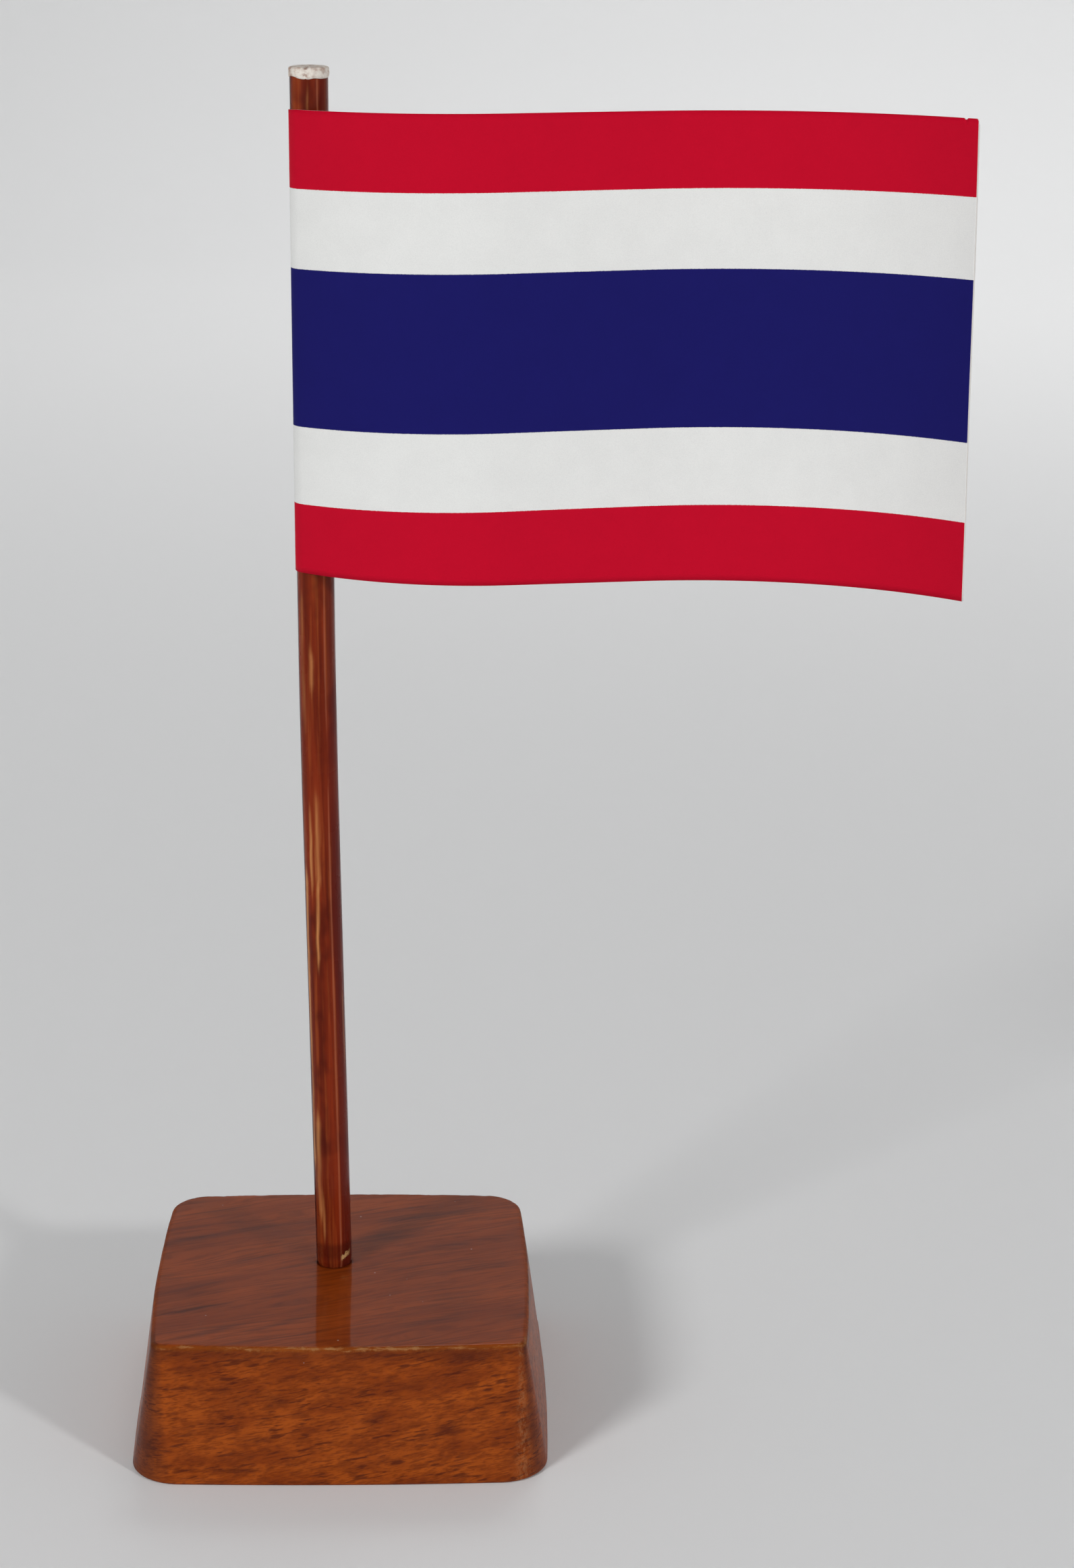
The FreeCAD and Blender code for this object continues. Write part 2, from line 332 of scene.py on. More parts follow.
def block_rings():
    """Rings from the underside's middle, up the side and over the top to the hole."""
    rings, from_edge, on_top = [], [], []

    def ring(flat, z, edge, top):
        rings.append(np.column_stack([flat, np.full(len(flat), z)]))
        from_edge.append(edge)
        on_top.append(top)

    under = block_outline(0, FOOT_EASE)
    for shrink in np.linspace(0.04, 1, 12):
        ring(under * shrink, 0.0, BLOCK_HEIGHT, 0)
    for a in np.radians([22, 45, 68, 90]):
        ring(block_outline(0, FOOT_EASE * (1 - math.sin(a))),
             FOOT_EASE * (1 - math.cos(a)), BLOCK_HEIGHT, 0)
    low, high = FOOT_EASE, BLOCK_HEIGHT - TOP_EASE
    for z in spaced(low, high, SIDE_STEP)[1:]:
        ring(block_outline(z, 0), z, high + TOP_EASE * 0.8 - z, 0)
    for a in np.radians([11, 22, 34, 45, 56, 68, 79, 90]):
        edge = abs(a - math.pi / 4) * TOP_EASE
        ring(block_outline(high, TOP_EASE * (1 - math.cos(a))),
             high + TOP_EASE * math.sin(a), edge, a / (math.pi / 2))
    rim = block_outline(high, TOP_EASE)
    hole_turn = np.arctan2(rim[:, 1] - SOCKET_AT.y, rim[:, 0] - SOCKET_AT.x)
    hole = np.column_stack([SOCKET_AT.x + SOCKET_RADIUS * np.cos(hole_turn),
                            SOCKET_AT.y + SOCKET_RADIUS * np.sin(hole_turn)])
    across = TOP_HALF - SOCKET_RADIUS
    for t in spaced(0, 1, TOP_STEP / across)[1:]:
        ring(rim * (1 - t) + hole * t, BLOCK_HEIGHT, 0.8 * TOP_EASE + t * across, 1)
    for depth in spaced(0, SOCKET_DEPTH, SOCKET_STEP)[1:]:
        lean = -SOCKET_AXIS.x / SOCKET_AXIS.z * depth
        ring(hole + np.array([lean, 0]), BLOCK_HEIGHT - depth, across, 1)
    return rings, from_edge, on_top


def marked(across, up, marks):
    """How dark the marks are at each place; each one fades out towards its ends."""
    dark = np.zeros(len(across))
    for x, y, length, width, heading, strength in marks:
        a = math.radians(heading)
        along = (across - x) * math.cos(a) + (up - y) * math.sin(a)
        aside = (up - y) * math.cos(a) - (across - x) * math.sin(a)
        spot = np.exp(-(along / (0.45 * length)) ** 2 - (aside / (0.5 * width)) ** 2)
        dark = np.maximum(dark, strength * spot)
    return dark


def turned_sideways(ring):
    """How far each place on a closed outline faces +X, from -1 to 1."""
    step = np.roll(ring, -1, 0) - np.roll(ring, 1, 0)
    return step[:, 1] / (np.hypot(step[:, 0], step[:, 1]) + 1e-12)


def made_uneven(points, edge, top):
    """Hand-sanded faces are a little uneven, and their edges a little more so."""
    outward = points * (1, 1, 0)
    outward /= np.linalg.norm(outward, axis=1)[:, None] + 1e-9
    near_side = np.clip(1 - top, 0, 1) * (points[:, 2] > 0.2 * MM)
    swell = wander(points, 14 * MM, 1) * 0.10 * MM + wander(points, 4 * MM, 2) * 0.03 * MM
    points = points + outward * (swell * near_side)[:, None]
    at_edge = np.exp(-(edge / (0.7 * MM)) ** 2)
    nibble = wander(points, 1.3 * MM, 3) * 0.5 + wander(points, 0.6 * MM, 4) * 0.5
    back = np.clip(points[:, 1] / (10 * MM), 0.25, 1)
    points[:, 2] += np.minimum(nibble, 0.1) * at_edge * back * 0.16 * MM
    points[:, 2] += wander(points, 9 * MM, 5) * 0.02 * MM * (top > 0.99)
    return points


def wood_marks(rings, points, top):
    """Listed marks, a paler line on the right front corner that is partly scuff and partly
    painted highlight, and painted shade on both front corners.
    """
    across, away, up = (points / MM).T
    mark = np.where(top > 0.5, marked(across, away, TOP_MARKS), 0)
    on_front = (away < -20) & (top < 0.5)
    mark = np.where(on_front, marked(across, up, FRONT_MARKS), mark)
    sideways = np.concatenate([turned_sideways(ring) for ring in rings])
    corner = np.clip((-away - 20) / 4, 0, 1) * (top < 0.9)
    # a broken paler line down the right front corner: partly scuffed wear, partly a painted
    # highlight where the corner turns to the light
    corner_rub_and_highlight = np.exp(-((sideways - 0.50) / 0.15) ** 2) * corner
    # painted shade on the front corners, keyed to how far the surface turns sideways: a band on
    # the right corner, and more the further the left corner turns away
    painted_corner_shade = np.exp(-((sideways - 0.80) / 0.13) ** 2) * 0.8 * (across > 0)
    painted_corner_shade = np.maximum(painted_corner_shade, np.clip((-sideways - 0.15) / 0.5, 0, 1)) * corner
    return {"mark": mark, "corner_rub_and_highlight": corner_rub_and_highlight, "painted_corner_shade": painted_corner_shade}


def base_block():
    rings, from_edge, on_top = block_rings()
    around = len(rings[0])
    edge, top = np.repeat(from_edge, around), np.repeat(on_top, around)
    points = made_uneven(np.vstack(rings), edge, top)
    values = {"from_edge": edge / MM, "on_top": top, **wood_marks(rings, points, top)}
    # two more points close the underside and the bottom of the hole
    middle = len(points)
    drilled = np.array(SOCKET_AT) - np.array(SOCKET_AXIS) * (SOCKET_DEPTH + DRILL_POINT)
    points = np.vstack([points, [[0, 0, 0]], [drilled]])
    ends = {"from_edge": [BLOCK_HEIGHT / MM] * 2, "on_top": [0, 1]}
    values = {label: np.append(numbers, ends.get(label, [0, 0]))
              for label, numbers in values.items()}
    faces = ring_faces(len(rings), around)
    faces += fan(0, around, middle, flip=True)
    faces += fan((len(rings) - 1) * around, around, middle + 1)
    piece = make_object("base_wood", points, faces, values)
    dress(piece, block_finish())
    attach(piece, "base")
    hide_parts("base_block")


# Colours of the block, from the darker to the lighter where there are two.
TOP_RED, TOP_TAN = (0.198, 0.031, 0.0030), (0.284, 0.049, 0.0045)
TOP_THREAD, TOP_VEIN = (0.095, 0.015, 0.0035), (0.050, 0.0095, 0.0035)
SIDE_RED, SIDE_ORANGE = (0.205, 0.034, 0.0020), (0.325, 0.064, 0.0045)
SIDE_FIGURE, SIDE_HAIR = (0.120, 0.018, 0.0015), (0.092, 0.013, 0.0012)
SIDE_PORE = (0.062, 0.0090, 0.0025)
# painted shade below the upper edges, and a paler front edge that is partly wear and partly
# painted highlight
EDGE_SHADE, EDGE_WEAR_AND_HIGHLIGHT = (0.085, 0.014, 0.0030), (0.215, 0.060, 0.0120)
# the first colour is the corner line's, partly scuff and partly painted highlight
SCUFF_AND_HIGHLIGHT_TAN, BARE_WOOD = (0.38, 0.17, 0.065), (0.40, 0.20, 0.075)
# painted shade for the front corners
PAINTED_CORNER_SHADE = (0.062, 0.0150, 0.0065)
DUST = (0.55, 0.5, 0.45)


def top_colour(f, at, mark):
    """The wood's length: lines far longer than they are wide."""
    over = f.place(at, turn=(0, 0, GRAIN_TURN))
    sway = f.noise(f.place(over, (0.02, 0.12, 0.1)), 1.0, 2.0)
    lift = f.add("ShaderNodeCombineXYZ")
    f.feed(lift.inputs[1], f.times(f.less(sway, 0.5), 9.0))
    swayed = f.add("ShaderNodeVectorMath", operation="ADD")
    f.feed(swayed.inputs[0], over)
    f.feed(swayed.inputs[1], lift.outputs[0])
    over = swayed.outputs[0]
    broad = f.noise(f.place(over, (0.025, 0.16, 0.2)), 1.0, 3.0, 0.55)
    streak = f.noise(f.place(over, (0.055, 0.75, 0.7), shift=(3, 5, 1)), 1.0, 3.0, 0.6)
    thread = f.noise(f.place(over, (0.16, 2.3, 1.8), shift=(9, 2, 4)), 1.0, 3.0, 0.65)
    colour = f.mix(f.span(broad, 0.3, 0.7), TOP_RED, TOP_TAN)
    fine = f.math("ADD", f.times(f.span(thread, 0.44, 0.66), 0.45), f.times(mark, 0.18))
    vein = f.math("ADD", f.span(streak, 0.53, 0.70, 0, 0.6),
                  f.times(mark, f.span(thread, 0.32, 0.58, 0.35, 1.0)), clamp=True)
    colour = f.mix(fine, colour, TOP_THREAD)
    return f.mix(f.times(vein, 0.70), colour, TOP_VEIN), thread, vein


def side_colour(f, at, mark):
    """Short open pores in a blotchy figure."""
    beside = f.place(at, turn=(0, GRAIN_CLIMB, 0))
    blotch = f.noise(f.place(beside, (0.12, 0.22, 0.30), shift=(2, 2, 2)), 1.0, 3.0, 0.6)
    figure = f.noise(f.place(beside, (0.30, 0.4, 0.9), shift=(5, 1, 7)), 1.0, 3.0, 0.65, 0.3)
    pore = f.noise(f.place(beside, (0.36, 0.7, 2.3), shift=(4, 4, 1)), 1.0, 2.0, 0.5)
    hair = f.noise(f.place(beside, (0.7, 1.4, 4.6), shift=(1, 9, 5)), 1.0, 2.0, 0.6)
    patch = f.noise(f.place(beside, (0.13, 0.2, 0.36), shift=(7, 3, 3)), 1.0, 2.0)
    colour = f.mix(f.span(blotch, 0.32, 0.66), SIDE_RED, SIDE_ORANGE)
    colour = f.mix(f.span(figure, 0.46, 0.66, 0, 0.55), colour, SIDE_FIGURE)
    dash = f.times(f.span(pore, 0.54, 0.67), f.span(patch, 0.36, 0.58, 0.30, 1.0), 0.72)
    pitted = f.times(mark, f.span(hair, 0.34, 0.56, 0.6, 1.0), 0.85)
    colour = f.mix(f.span(hair, 0.46, 0.66, 0, 0.50), colour, SIDE_HAIR)
    return f.mix(f.math("MAXIMUM", dash, pitted), colour, SIDE_PORE), dash


def worn_edges(f, at, colour, top, ragged):
    """Lacquer worn to pale wood along the upper edge in front, with a paler band there that is
    partly wear and partly painted highlight, over a band of painted shade below the upper edges.
    """
    rub = f.noise(f.place(at, (0.16, 0.30, 1.2), shift=(6, 6, 6)), 1.0, 5.0, 0.75)
    front = f.span(f.part_of(at, 1), -22.0, -26.0, 0.08, 1.0)
    shade = f.times(f.span(ragged, 2.4, 0.9, 0, 0.45), f.span(top, 0.5, 0.2))
    colour = f.mix(shade, colour, EDGE_SHADE)
    # paler band on the front edge: partly wear, partly painted highlight
    pale_edge_wear_and_highlight = f.times(f.span(ragged, 0.75, 0.1, 0, 0.50), front,
                   f.span(top, 1.0, 0.6, 0.35, 1.0))
    colour = f.mix(pale_edge_wear_and_highlight, colour, EDGE_WEAR_AND_HIGHLIGHT)
    worn = f.times(f.span(ragged, 0.40, 0.0), f.span(rub, 0.47, 0.60), front)
    colour = f.mix(f.times(worn, 0.65), colour, BARE_WOOD)
    # the right front corner's paler line, partly scuff and partly painted highlight
    scuff_and_highlight = f.noise(f.place(at, (2.2, 2.2, 1.1), shift=(2, 8, 3)), 1.0, 4.0, 0.8)
    scuff_and_highlight = f.times(f.stored("corner_rub_and_highlight"), f.span(scuff_and_highlight, 0.42, 0.64), 0.42)
    # painted shade on the front corners
    colour = f.mix(f.times(f.stored("painted_corner_shade"), 0.62), colour, PAINTED_CORNER_SHADE)
    return f.mix(scuff_and_highlight, colour, SCUFF_AND_HIGHLIGHT_TAN), worn


def block_finish():
    f = Finish("lacquered_block")
    at = f.in_mm()
    top, edge, mark = f.stored("on_top"), f.stored("from_edge"), f.stored("mark")
    on_top, thread, vein = top_colour(f, at, mark)
    on_side, dash = side_colour(f, at, mark)
    colour = f.mix(f.span(top, 0.35, 0.75), on_side, on_top)
    ragged = f.math("ADD", edge, f.times(f.less(f.noise(at, 0.9, 4.0, 0.7), 0.5), 1.3))
    colour, worn = worn_edges(f, at, colour, top, ragged)

    # a few specks of dust
    spots = f.place(at, (0.42, 0.42, 0.42))
    speck = f.times(f.span(f.cells(spots), 0.07, 0.03),
                    f.span(f.part_of(f.cells(spots, output="Color"), 0), 0.90, 0.93))
    colour = f.mix(f.times(speck, 0.6), colour, DUST)

    pits = f.math("ADD", f.times(dash, f.span(top, 0.5, 0.2)), f.times(vein, 0.2))
    relief = f.math("ADD", f.times(pits, -1.0), f.times(worn, -0.3))
    skin = f.noise(at, 0.55, 3.0, 0.5)
    rough = f.math("ADD", f.times(worn, 0.2), f.span(thread, 0.3, 0.7, 0.40, 0.50))
    lacquer = f.times(f.span(ragged, 0.0, 0.8, 0.12, 1.0), f.span(top, 0.3, 0.8, 0.28, 0.42))
    f.set(Base_Color=colour, Roughness=rough, Normal=f.bump(relief, 0.03 * MM),
          Specular_IOR_Level=0.02, Coat_Weight=lacquer, Coat_Roughness=0.05, Coat_IOR=1.5,
          Coat_Normal=f.bump(skin, 0.0015 * MM, f.bump(relief, 0.001 * MM)))
    return f


# pole -------------------------------------------------------------------

POLE_RADIUS = 2.6 * MM
PEG_RADIUS = 2.4 * MM
BOW_START = 92.0 * MM
BOW_RISE = 29.0 * MM
SHOULDER_RISE = 1.2 * MM    # height of the rounded step between the peg and the pole
PEG_BEVEL = 0.6 * MM
POLE_EASE = 0.25 * MM       # bevel of the upper end, under the filler
SEAL_CAP = 0.6 * MM         # how far the filler stands above the pole's end
POLE_AROUND = 96

# Pale streaks where the stain is thin: heading round the pole in degrees, its lowest and
# highest place above the block and its half width in millimetres, and how pale it is.
PALE_STREAKS = (
    (212, 15, 62, 0.34, 1.0), (233, 7, 25, 0.48, 0.8), (243, 3.4, 13, 0.22, 0.95),
    (256, 46, 61, 0.24, 1.0), (237, 57, 72, 0.26, 0.9), (259, 58, 74, 0.50, 0.55),
    (251, 87, 95, 0.40, 0.75), (222, 80, 103, 0.40, 0.45), (268, 148, 172, 0.25, 0.35),
    (30, 12, 66, 0.36, 0.9), (58, 40, 90, 0.26, 0.7), (95, 8, 40, 0.45, 0.8),
    (120, 70, 118, 0.36, 0.7), (160, 20, 52, 0.28, 0.8), (340, 30, 44, 0.20, 0.5),
)


def centre_line(length):
    """The pole's axis: its place and direction at a length above the block's top."""
    low = math.atan2(-SOCKET_AXIS.x, SOCKET_AXIS.z)
    high = math.atan2(-FLAG_AXIS.x, FLAG_AXIS.z)
    straight = (BOW_START - BLOCK_HEIGHT) / SOCKET_AXIS.z
    at = SOCKET_AT + SOCKET_AXIS * min(length, straight)
    if length <= straight:
        return at, SOCKET_AXIS
    radius = BOW_RISE / (low - high)
    bent = min((length - straight) / radius, low - high)
    lean = low - bent
    centre = at + Vector((SOCKET_AXIS.z, 0, -SOCKET_AXIS.x)) * radius
    at = centre - Vector((math.cos(lean), 0, math.sin(lean))) * radius
    way = Vector((-math.sin(lean), 0, math.cos(lean)))
    return at + way * max(0.0, length - straight - BOW_RISE), way


def pole_length():
    """Length of the axis from the block's top to the pole's upper end."""
    above_bend = 160 * MM
    at, way = centre_line(above_bend)
    return above_bend + (SEAL_HIGH.z - SEAL_CAP - at.z) / way.z


def paleness(heading, height, flat):
    """How thin the stain is at a heading round the pole and a height, both jittered."""
    drift = noise.noise(Vector((height * 0.05, 3.1, 0.7))) * 0.5
    drift += noise.noise(Vector((height * 0.4, 8.2, 1.7))) * 0.12
    most = 0.0
    for middle, low, high, half_width, strength in PALE_STREAKS:
        aside = (heading - middle + 180) % 360 - 180
        aside = math.radians(aside) * POLE_RADIUS / MM + drift
        ends = min(1.0, max(0.0, min(height - low, high - height) / 3.0 + 0.3))
        taper = half_width * (0.4 + 0.6 * ends)
        most = max(most, strength * ends * math.exp(-(aside / taper) ** 2))
    rag = noise.noise(Vector((flat.x * 1.2, flat.y * 1.2, height * 0.12)))
    return most * min(1.0, max(0.0, 0.85 + 0.9 * rag))


def pole_radius(s, total):
    """The pole's radius at a length along its axis; its upper end is at total."""
    radius = POLE_RADIUS
    if s < SHOULDER_RISE:
        t = max(0.0, s / SHOULDER_RISE)
        radius = PEG_RADIUS + (POLE_RADIUS - PEG_RADIUS) * math.sin(t * math.pi / 2) ** 0.8
    radius -= max(0.0, PEG_BEVEL - (s + SOCKET_DEPTH))
    return radius - max(0.0, POLE_EASE - (total - s))


def pole():
    total = pole_length()
    # close together at the shoulder and the upper end
    lengths = np.concatenate([
        spaced(-SOCKET_DEPTH, -0.5 * MM, 1.5 * MM),
        spaced(-0.25 * MM, 3 * MM, 0.14 * MM),
        spaced(3.5 * MM, total - 1 * MM, 0.8 * MM),
        spaced(total - 0.7 * MM, total, 0.12 * MM),
    ])
    turn = np.linspace(0, 2 * math.pi, POLE_AROUND, endpoint=False)
    points, straight, heights, pale = [], [], [], []
    for s in lengths:
        at, way = centre_line(s)
        aside = Vector((way.z, 0, -way.x))
        radius = pole_radius(s, total)
        for a in turn:
            spoke = aside * math.cos(a) + Vector((0, math.sin(a), 0))
            flat = Vector((math.cos(a), math.sin(a), 0)) * (POLE_RADIUS / MM)
            flat.z = s / MM
            ridge_and_highlight = noise.noise(Vector((flat.x * 1.3, flat.y * 1.3, flat.z * 0.02)))
            dent = noise.noise(Vector((flat.x * 0.4, flat.y * 0.4, flat.z * 0.09 + 40)))
            proud = (0.012 * ridge_and_highlight + 0.02 * dent) * MM
            points.append(at + spoke * (radius + (proud if s > 0 else 0)))
            straight.append(flat)
            heights.append(s / MM)
            pale.append(paleness(math.degrees(a), s / MM, flat))
    faces = ring_faces(len(lengths), POLE_AROUND)
    faces += fan(0, POLE_AROUND, len(points), flip=True)
    faces += fan((len(lengths) - 1) * POLE_AROUND, POLE_AROUND, len(points) + 1)
    for s in (-SOCKET_DEPTH, total):
        points.append(centre_line(s)[0])
        straight.append(Vector((0, 0, s / MM)))
        heights.append(s / MM)
        pale.append(0)
    values = {"straight": straight, "height": heights, "pale": pale}
    piece = make_object("pole_wood", points, faces, values)
    dress(piece, pole_finish())
    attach(piece, "pole")
    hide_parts("pole")


# Colours of the pole's stain, of the wood where it is thin or chipped away, and of a painted
# highlight and painted shade.
STAIN_DARK, STAIN_RED = (0.105, 0.0100, 0.0035), (0.215, 0.0245, 0.0062)
STAIN_STREAK, STAIN_THREAD = (0.280, 0.0560, 0.0130), (0.075, 0.0080, 0.0035)
# the second colour is a painted highlight's
STAIN_CLOUD, PAINTED_HIGHLIGHT_LINE = (0.066, 0.0058, 0.0030), (0.42, 0.130, 0.065)
# painted shade for the pole's right and left sides
PAINTED_SHADE_RIGHT, PAINTED_SHADE_LEFT = (0.095, 0.0090, 0.0075), (0.030, 0.0070, 0.0060)
STAIN_THIN, FOOT_BAND_DARK = (0.52, 0.215, 0.072), (0.050, 0.0060, 0.0035)
CHIPPED = (0.56, 0.33, 0.14)


def pole_finish():
    f = Finish("stained_pole")
    at = f.stored("straight", "Vector")
    height = f.stored("height")
    x, y = f.part_of(at, 0), f.part_of(at, 1)

    # the stain lies unevenly in long soft streaks, and shows pale wood where it is thin; a
    # painted highlight line and painted shade at both sides lie over it
    tone = f.noise(f.place(at, (0.42, 0.42, 0.03)), 1.0, 3.0, 0.55)
    cloud = f.noise(f.place(at, (0.18, 0.18, 0.09), shift=(8, 2, 9)), 1.0, 3.0, 0.6)
    streak = f.noise(f.place(at, (1.1, 1.1, 0.035), shift=(3, 1, 2)), 1.0, 3.0, 0.6)
    thread = f.noise(f.place(at, (3.2, 3.2, 0.08), shift=(1, 7, 3)), 1.0, 2.0, 0.5)

    colour = f.mix(f.span(tone, 0.32, 0.66), STAIN_DARK, STAIN_RED)
    colour = f.mix(f.span(streak, 0.50, 0.66, 0, 0.65), colour, STAIN_STREAK)
    colour = f.mix(f.span(cloud, 0.50, 0.68, 0, 0.80), colour, STAIN_CLOUD)
    colour = f.mix(f.span(thread, 0.48, 0.68, 0, 0.30), colour, STAIN_THREAD)
    # painted highlight: a broken pale line down the front, right of the middle
    ridge_and_highlight = f.math("ABSOLUTE", f.less(x, 1.15))
    ridge_and_highlight = f.times(f.span(ridge_and_highlight, 0.20, 0.04), f.span(y, 0.0, -1.0),
                    f.span(streak, 0.36, 0.52))
    colour = f.mix(f.times(ridge_and_highlight, 0.40), colour, PAINTED_HIGHLIGHT_LINE)
    # painted shade on the right-hand part of the front
    right = f.times(f.span(x, 1.25, 1.55, 0, 0.60), f.span(y, 1.0, 0.0))
    colour = f.mix(right, colour, PAINTED_SHADE_RIGHT)
    # painted shade in a narrow dark line down the pole's left side
    colour = f.mix(f.span(x, -2.36, -2.50, 0, 0.8), colour, PAINTED_SHADE_LEFT)
    shown = f.times(f.stored("pale"), f.span(thread, 0.30, 0.55, 1.0, 0.72))
    colour = f.mix(f.span(shown, 0.0, 0.90), colour, STAIN_THIN)

    # a darker band just above the shoulder, and one slanted chip shows bare wood
    ring = f.times(f.span(height, 4.2, 3.2), f.span(height, 0.8, 2.0, 0.3, 1.0))
    colour = f.mix(f.times(ring, 0.55), colour, FOOT_BAND_DARK)
    rag = f.noise(f.place(at, (2.2, 2.2, 1.4)), 1.0, 3.0, 0.7)
    slant = f.math("ABSOLUTE", f.less(f.less(height, 0.8), f.times(x, 0.60)))
    slant = f.math("ADD", slant, f.times(f.less(0.5, rag), 1.6))
    chip = f.times(f.span(slant, 0.42, 0.22), f.span(y, 0.5, -0.5),
                   f.span(x, 1.00, 1.30), f.span(x, 2.45, 2.1))
    colour = f.mix(f.times(chip, 0.9), colour, CHIPPED)

    grain = f.math("ADD", f.times(thread, 0.5), f.times(streak, 0.5))
    relief = f.less(grain, f.times(chip, 0.8))
    rough = f.math("ADD", f.times(chip, 0.3), f.span(cloud, 0.3, 0.7, 0.24, 0.34))
    f.set(Base_Color=colour, Roughness=rough, Normal=f.bump(relief, 0.05 * MM),
          Specular_IOR_Level=0.10, Specular_Tint=(1.0, 0.45, 0.28),
          Coat_Weight=0.10, Coat_Roughness=0.07, Coat_IOR=1.5,
          Coat_Normal=f.bump(relief, 0.005 * MM))
    return f


# white filler on the pole's end ------------------------------------------

# From the skirt's inner edge to the top: radius, and rise above the pole's end, in mm.
SEAL_PROFILE = (
    (2.50, -0.55), (2.62, -0.95), (2.70, -0.98), (2.745, -0.85), (2.755, -0.6),
    (2.75, -0.2), (2.745, 0.15), (2.70, 0.36), (2.60, 0.48), (2.40, 0.55),
    (2.0, 0.57), (1.5, 0.56), (0.9, 0.55), (0.4, 0.55),
)
SEAL_SKIRT = 0.98     # mm, how far the skirt hangs down
SEAL_NOTCH = 262      # degrees, the heading of a gap in the filler
SEAL_SMEARS = ((205, 0.8), (290, 0.35), (318, 0.5), (75, 0.5), (140, 0.6))   # degrees, strength


def seal():
    """Filler dabbed over the end: a lumpy cap whose skirt ends in uneven lobes."""
    end, way = centre_line(pole_length())
    aside = Vector((way.z, 0, -way.x))
    points, smear = [], []
    for radius, rise in SEAL_PROFILE:
        for a in np.linspace(0, 2 * math.pi, POLE_AROUND, endpoint=False):
            lobe = 0.5 + 0.5 * math.sin(2 * a + 0.7) + 0.35 * math.sin(5 * a + 1.1)
            notch = math.exp(-((a - math.radians(SEAL_NOTCH)) / 0.12) ** 2)
            smear.append(max(0.9 * notch, *(
                strength * math.exp(-((a - math.radians(heading)) / 0.16) ** 2)
                for heading, strength in SEAL_SMEARS)))
            lump = noise.noise(Vector((math.cos(a) * 2.2, math.sin(a) * 2.2, rise * 1.6 + 9)))
            low = max(0.0, -rise) / SEAL_SKIRT
            up = rise + low * (0.22 * lobe + 0.10 * lump) - notch * 0.12 * (rise > 0)
            out = radius + 0.05 * lump * min(1.0, radius / 2) - 0.12 * notch * (radius > 2.3)
            spoke = aside * math.cos(a) + Vector((0, math.sin(a), 0))
            points.append(end + spoke * (out * MM) + way * (up * MM))
    faces = ring_faces(len(SEAL_PROFILE), POLE_AROUND)
    faces += fan((len(SEAL_PROFILE) - 1) * POLE_AROUND, POLE_AROUND, len(points))
    points.append(end + way * (SEAL_PROFILE[-1][1] * MM))
    smear.append(0)
    piece = make_object("pole_end_filler", points, faces, {"smear": smear})
    dress(piece, seal_finish())
    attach(piece, "pole")
    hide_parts("pole_end_seal")


def seal_finish():
    f = Finish("white_filler")
    at = f.in_mm()
    grime = f.noise(f.place(at, (0.9, 0.9, 1.2)), 1.0, 4.0, 0.65)
    speck = f.noise(at, 5.0, 2.0, 0.6)
    colour = f.mix(f.span(grime, 0.42, 0.70), (0.78, 0.73, 0.66), (0.48, 0.33, 0.25))
    smear = f.times(f.stored("smear"), f.span(grime, 0.32, 0.52))
    colour = f.mix(smear, colour, (0.26, 0.12, 0.075))
    colour = f.mix(f.span(speck, 0.55, 0.72, 0, 0.4), colour, (0.50, 0.42, 0.36))
    height = f.math("ADD", grime, f.times(speck, 0.4))
    f.set(Base_Color=colour, Roughness=0.6, Normal=f.bump(height, 0.12 * MM),
          Specular_IOR_Level=0.4)
    return f


# flag -------------------------------------------------------------------

SHEET = 0.14 * MM          # thickness of the card
GLUE = 0.06 * MM
LOOP_RADIUS = POLE_RADIUS + 0.06 * MM + SHEET / 2
LEAVE_ANGLE = -35.0        # degrees, the front leaf's heading where it leaves the pole
WAVES = ((39.3 * MM, 43.1), (1100.0 * MM, -1.0), (52.2 * MM, -50.0))   # radius, turn
RETURN_RADIUS = 12.0 * MM  # of the back leaf's swing in to the front leaf
FLAG_FOOT = 124.9 * MM
FLAG_HEIGHT = 63.3 * MM
RISE = math.tan(math.radians(0.891))        # climb of the printed bands along the flag
FOOT_DROP, TOP_DROP = 0.0236, 0.0042        # how much less the two edges climb
FOOT_SAG, SAG_RUN = 1.016 * MM, 90 * MM     # how the lower edge curves up again
PRINT_START = 1.5 * MM     # length of print round the pole, before the front leaf
FINE_STEP = 0.12 * MM
CUT_END = 2.8 * MM         # length at each free end that is modelled finely
CORNER_ROUND = 0.32 * MM
NICK_AT, NICK_HALF, NICK_DEPTH = 1.95 * MM, 0.22 * MM, 0.20 * MM
BACK_DROP = 0.55 * MM      # how much lower the back leaf's top edge is than the front's
BAND_EDGES = (9.67, 20.45, 42.05, 52.80)    # mm above the lower edge
FLY_SKEW = 0.39            # degrees, how far askew the free end is cut


def polar(centre, radius, degrees):
    a = math.radians(degrees)
    return np.array(centre) + radius * np.array([math.cos(a), math.sin(a)])


def tangent_arcs(point, heading, bends):
    """Arcs that follow on from each other: centre, radius, first and last angle."""
    arcs = []
    for radius, turn in bends:
        side = 90 if turn > 0 else -90
        centre = polar(point, radius, heading + side)
        arcs.append((centre, radius, heading - side, heading - side + turn))
        point = polar(centre, radius, heading - side + turn)
        heading += turn
    return arcs


def shifted_arcs(arcs, gap):
    """The same arcs, moved to the left of the way they run."""
    return [(c, r - gap if last > first else r + gap, first, last)
            for c, r, first, last in arcs]


